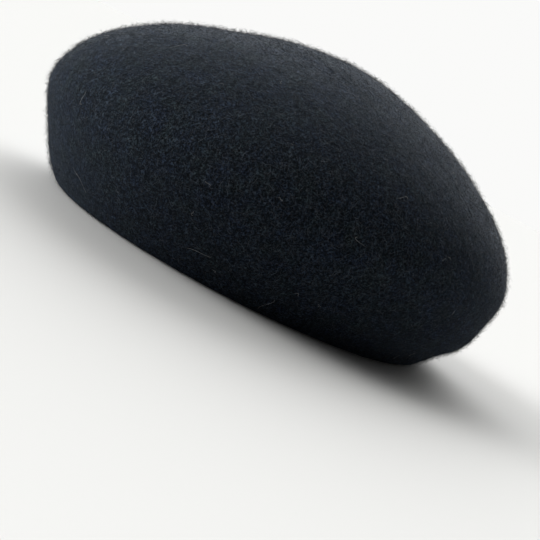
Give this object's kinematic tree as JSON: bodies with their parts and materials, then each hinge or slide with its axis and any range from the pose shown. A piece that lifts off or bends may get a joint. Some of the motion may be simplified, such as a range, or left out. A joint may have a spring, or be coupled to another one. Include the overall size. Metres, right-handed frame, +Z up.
{
  "type": "beret",
  "caption": "Round blocked wool-felt beret with a wide soft crown, turned-in rim, ribbon sweatband with a hook-and-loop size adjuster, and satin lining.",
  "frame": {"origin": "centre of the rim's resting plane, on the axis of the head opening", "axes": "+Z up through the crown; the wearer's face is towards -Y, the centre back is +Y, the wearer's left is +X"},
  "size_m": [0.25, 0.25, 0.115],
  "materials": {
    "wool_felt": "matte",
    "satin_lining": "satin",
    "grosgrain": "matte",
    "black_thread": "satin",
    "elastic": "matte",
    "webbing": "matte",
    "loop_pile": "matte",
    "hook_nylon": "satin",
    "white_satin": "satin",
    "white_thread": "satin",
    "woven_label": "satin"
  },
  "bodies": {
    "beret": {"felt_body": "wool_felt", "lining_crown": "satin_lining", "lining_side": "satin_lining", "lining_seam": "black_thread", "lining_tacks": "black_thread", "sweatband": "grosgrain", "sweatband_join": "grosgrain", "sweatband_stitching": "black_thread", "adjuster_elastic": "elastic", "adjuster_anchor": "black_thread", "loop_patch": "loop_pile", "care_label_end": "white_satin", "care_label_stitches": "white_thread", "maker_label": "woven_label", "maker_label_stitches": "black_thread"},
    "adjuster": {"hook_tab": "webbing", "hook_patch": "hook_nylon", "hook_tab_stitches": "black_thread"},
    "label_flap": {"care_label": "white_satin"}
  },
  "joints": [
    {"name": "size_adjust", "type": "hinge", "parent": "beret", "child": "adjuster", "pos_m": [0, 0, 0.022], "axis": [0, 0, 1], "range_deg": [0, 14]},
    {"name": "care_label_swing", "type": "hinge", "parent": "beret", "child": "label_flap", "pos_m": [-0.08429, 0.0393, 0.0308], "axis": [0.4226, 0.9063, 0], "range_deg": [-50, 90], "stiffness_Nm_per_rad": 0.0001}
  ]
}
